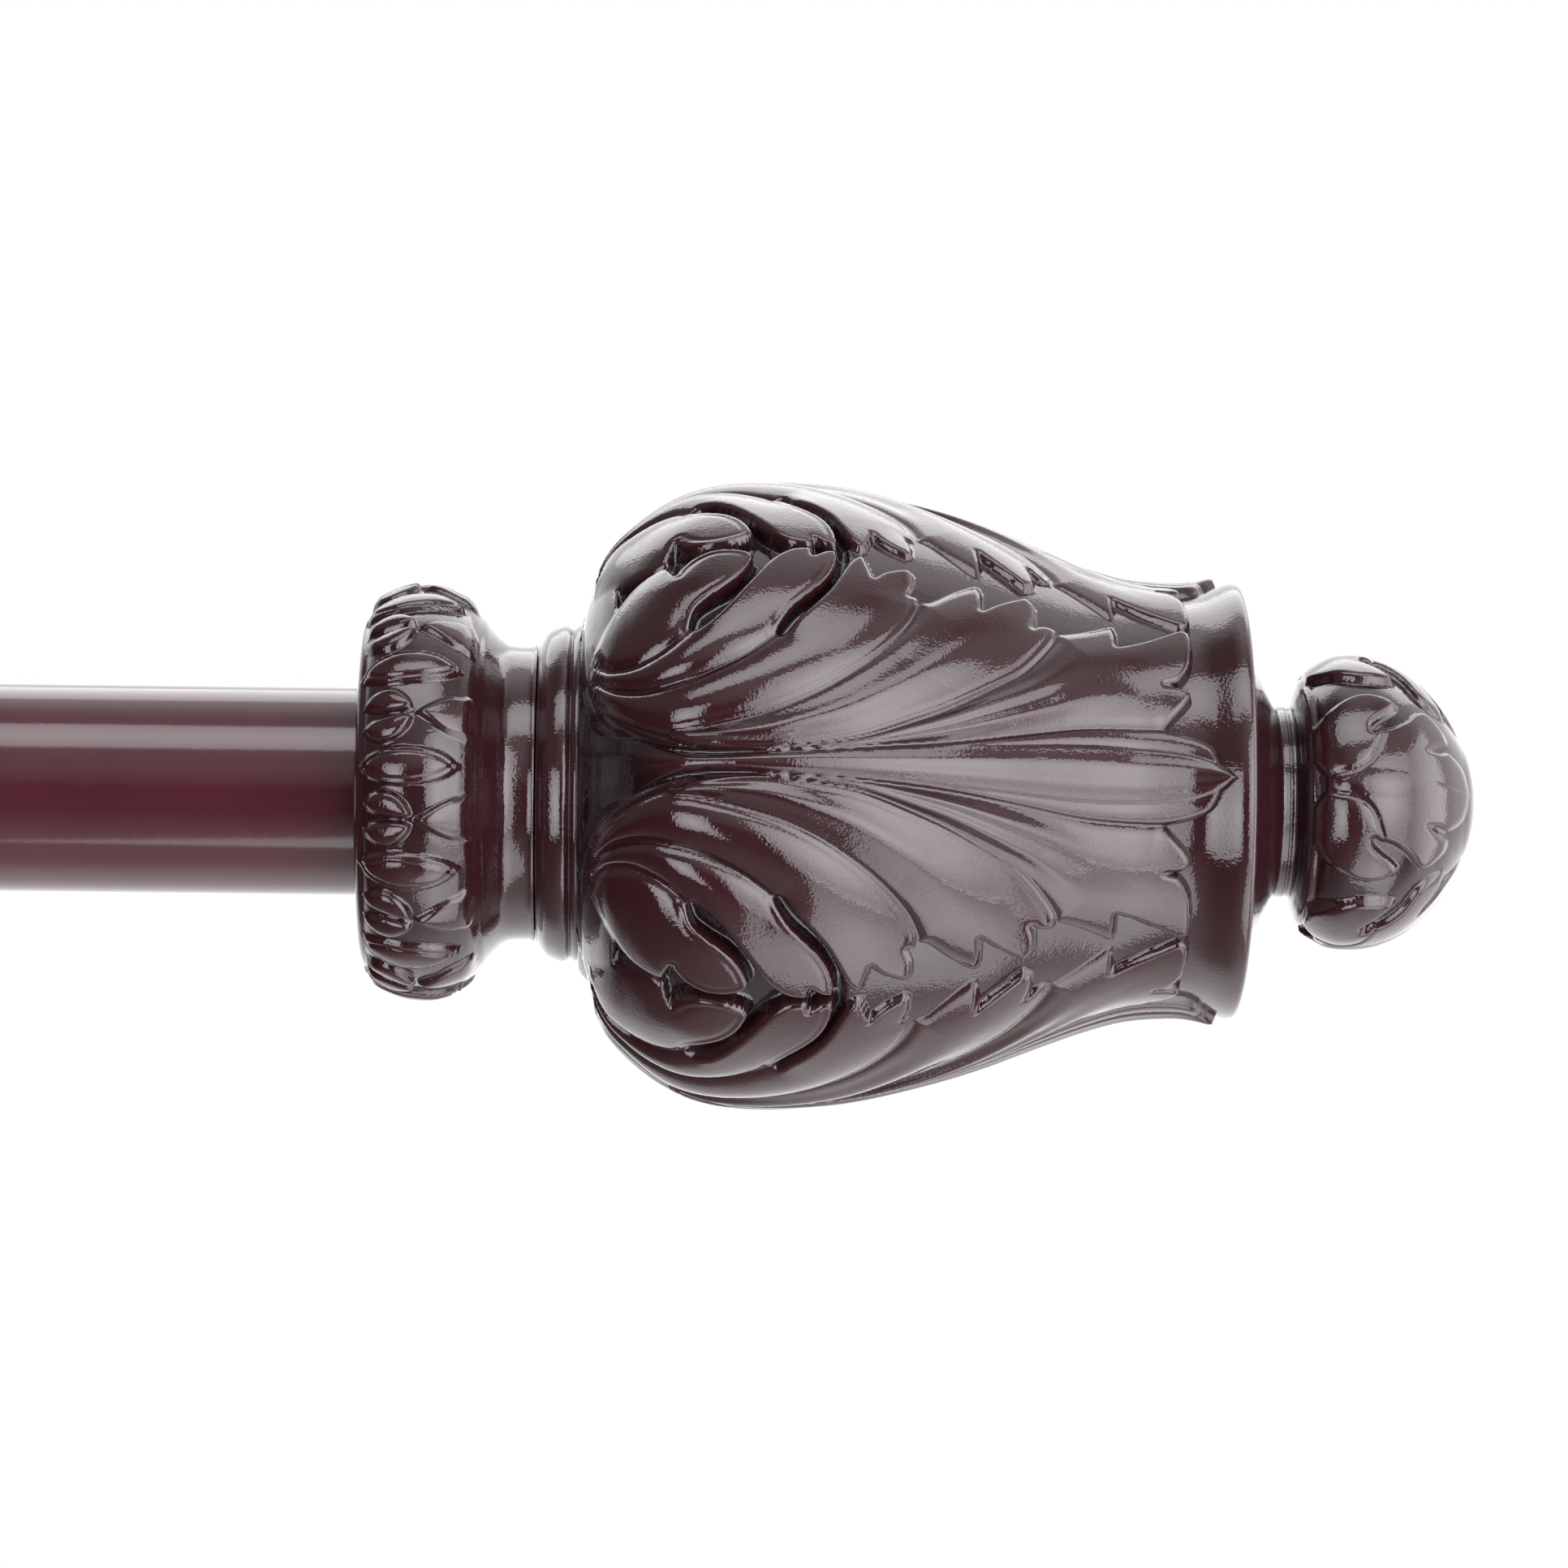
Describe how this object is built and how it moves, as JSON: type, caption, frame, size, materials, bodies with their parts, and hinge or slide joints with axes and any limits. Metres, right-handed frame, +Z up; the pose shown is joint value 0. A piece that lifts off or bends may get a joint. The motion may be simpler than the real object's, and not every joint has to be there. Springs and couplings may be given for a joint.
{
  "type": "curtain rod with brackets",
  "caption": "Telescopic steel curtain rod with carved urn finials, resting in adjustable wall brackets and locked by thumbscrews.",
  "frame": {"origin": "centre of the right-hand wall plate's back face, on the wall plane", "axes": "+X along the rod towards the finial on the outer tube, +Y into the wall, +Z up"},
  "size_m": [0.9838, 0.1599, 0.08],
  "materials": {
    "tube_paint": "satin-gloss dark wine-red lacquer on steel tube",
    "finial_lacquer": "thick gloss mahogany lacquer over cast resin",
    "bracket_paint": "satin-gloss mahogany lacquer on steel",
    "bush_nylon": "moulded black nylon",
    "fastener_steel": "bright zinc-plated steel"
  },
  "bodies": {
    "wall_mounts": {"right_wall_plate": "bracket_paint", "right_arm_socket": "bracket_paint", "right_upper_wall_screw": "bracket_paint", "right_lower_wall_screw": "bracket_paint", "left_wall_plate": "bracket_paint", "left_arm_socket": "bracket_paint", "left_upper_wall_screw": "bracket_paint", "left_lower_wall_screw": "bracket_paint"},
    "rod": {"outer_tube": "tube_paint", "mouth_bush": "bush_nylon", "right_end_plug": "bush_nylon"},
    "inner_rod": {"inner_tube": "tube_paint", "tail_bush": "bush_nylon", "left_end_plug": "bush_nylon"},
    "right_arm": {"right_arm_bar": "bracket_paint", "right_cradle": "bracket_paint", "right_cradle_screw": "fastener_steel"},
    "right_arm_lock": {"right_arm_thumbscrew": "bracket_paint"},
    "right_rod_lock": {"right_rod_thumbscrew": "bracket_paint"},
    "right_finial_sleeve": {"right_sleeve": "bush_nylon"},
    "right_finial": {"right_socket": "finial_lacquer", "right_collar": "finial_lacquer", "right_neck_ring": "finial_lacquer", "right_urn": "finial_lacquer", "right_end_cap": "finial_lacquer", "right_bud": "finial_lacquer", "right_tie_rod": "fastener_steel", "right_tie_nut": "fastener_steel", "right_tie_washer": "fastener_steel"},
    "right_finial_lock": {"right_set_screw": "fastener_steel"},
    "left_arm": {"left_arm_bar": "bracket_paint", "left_cradle": "bracket_paint", "left_cradle_screw": "fastener_steel"},
    "left_arm_lock": {"left_arm_thumbscrew": "bracket_paint"},
    "left_rod_lock": {"left_rod_thumbscrew": "bracket_paint"},
    "left_finial_sleeve": {"left_sleeve": "bush_nylon"},
    "left_finial": {"left_socket": "finial_lacquer", "left_collar": "finial_lacquer", "left_neck_ring": "finial_lacquer", "left_urn": "finial_lacquer", "left_end_cap": "finial_lacquer", "left_bud": "finial_lacquer", "left_tie_rod": "fastener_steel", "left_tie_nut": "fastener_steel", "left_tie_washer": "fastener_steel"},
    "left_finial_lock": {"left_set_screw": "fastener_steel"}
  },
  "joints": [
    {"name": "left_arm_slide", "type": "slide", "parent": "wall_mounts", "child": "left_arm", "axis": [0, -1, 0], "range_m": [0, 0.032]},
    {"name": "left_arm_lock_unscrew", "type": "slide", "parent": "wall_mounts", "child": "left_arm_lock", "axis": [0, 0, -1], "range_m": [0, 0.004]},
    {"name": "left_rod_lock_unscrew", "type": "slide", "parent": "left_arm", "child": "left_rod_lock", "axis": [0, 0, -1], "range_m": [0, 0.004]},
    {"name": "right_arm_slide", "type": "slide", "parent": "wall_mounts", "child": "right_arm", "axis": [0, -1, 0], "range_m": [0, 0.032]},
    {"name": "right_arm_lock_unscrew", "type": "slide", "parent": "wall_mounts", "child": "right_arm_lock", "axis": [0, 0, -1], "range_m": [0, 0.004]},
    {"name": "right_rod_lock_unscrew", "type": "slide", "parent": "right_arm", "child": "right_rod_lock", "axis": [0, 0, -1], "range_m": [0, 0.004]},
    {"name": "rod_lift", "type": "slide", "parent": "left_arm", "child": "rod", "axis": [0, 0, 1], "range_m": [0, 0.05]},
    {"name": "rod_extend", "type": "slide", "parent": "rod", "child": "inner_rod", "axis": [-1, 0, 0], "range_m": [0, 0.508]},
    {"name": "right_finial_pull", "type": "slide", "parent": "rod", "child": "right_finial_sleeve", "axis": [1, 0, 0], "range_m": [0, 0.03]},
    {"name": "right_finial_turn", "type": "hinge", "parent": "right_finial_sleeve", "child": "right_finial", "pos_m": [0.09, -0.09, 0], "axis": [1, 0, 0], "continuous": true},
    {"name": "right_finial_lock_unscrew", "type": "slide", "parent": "right_finial", "child": "right_finial_lock", "axis": [0, 0, -1], "range_m": [0, 0.004]},
    {"name": "left_finial_pull", "type": "slide", "parent": "inner_rod", "child": "left_finial_sleeve", "axis": [-1, 0, 0], "range_m": [0, 0.03]},
    {"name": "left_finial_turn", "type": "hinge", "parent": "left_finial_sleeve", "child": "left_finial", "pos_m": [-0.6212, -0.09, 0], "axis": [-1, 0, 0], "continuous": true},
    {"name": "left_finial_lock_unscrew", "type": "slide", "parent": "left_finial", "child": "left_finial_lock", "axis": [0, 0, -1], "range_m": [0, 0.004]}
  ],
  "couplings": [
    {"joint": "right_arm_slide", "follows": "left_arm_slide", "ratio": 1}
  ]
}
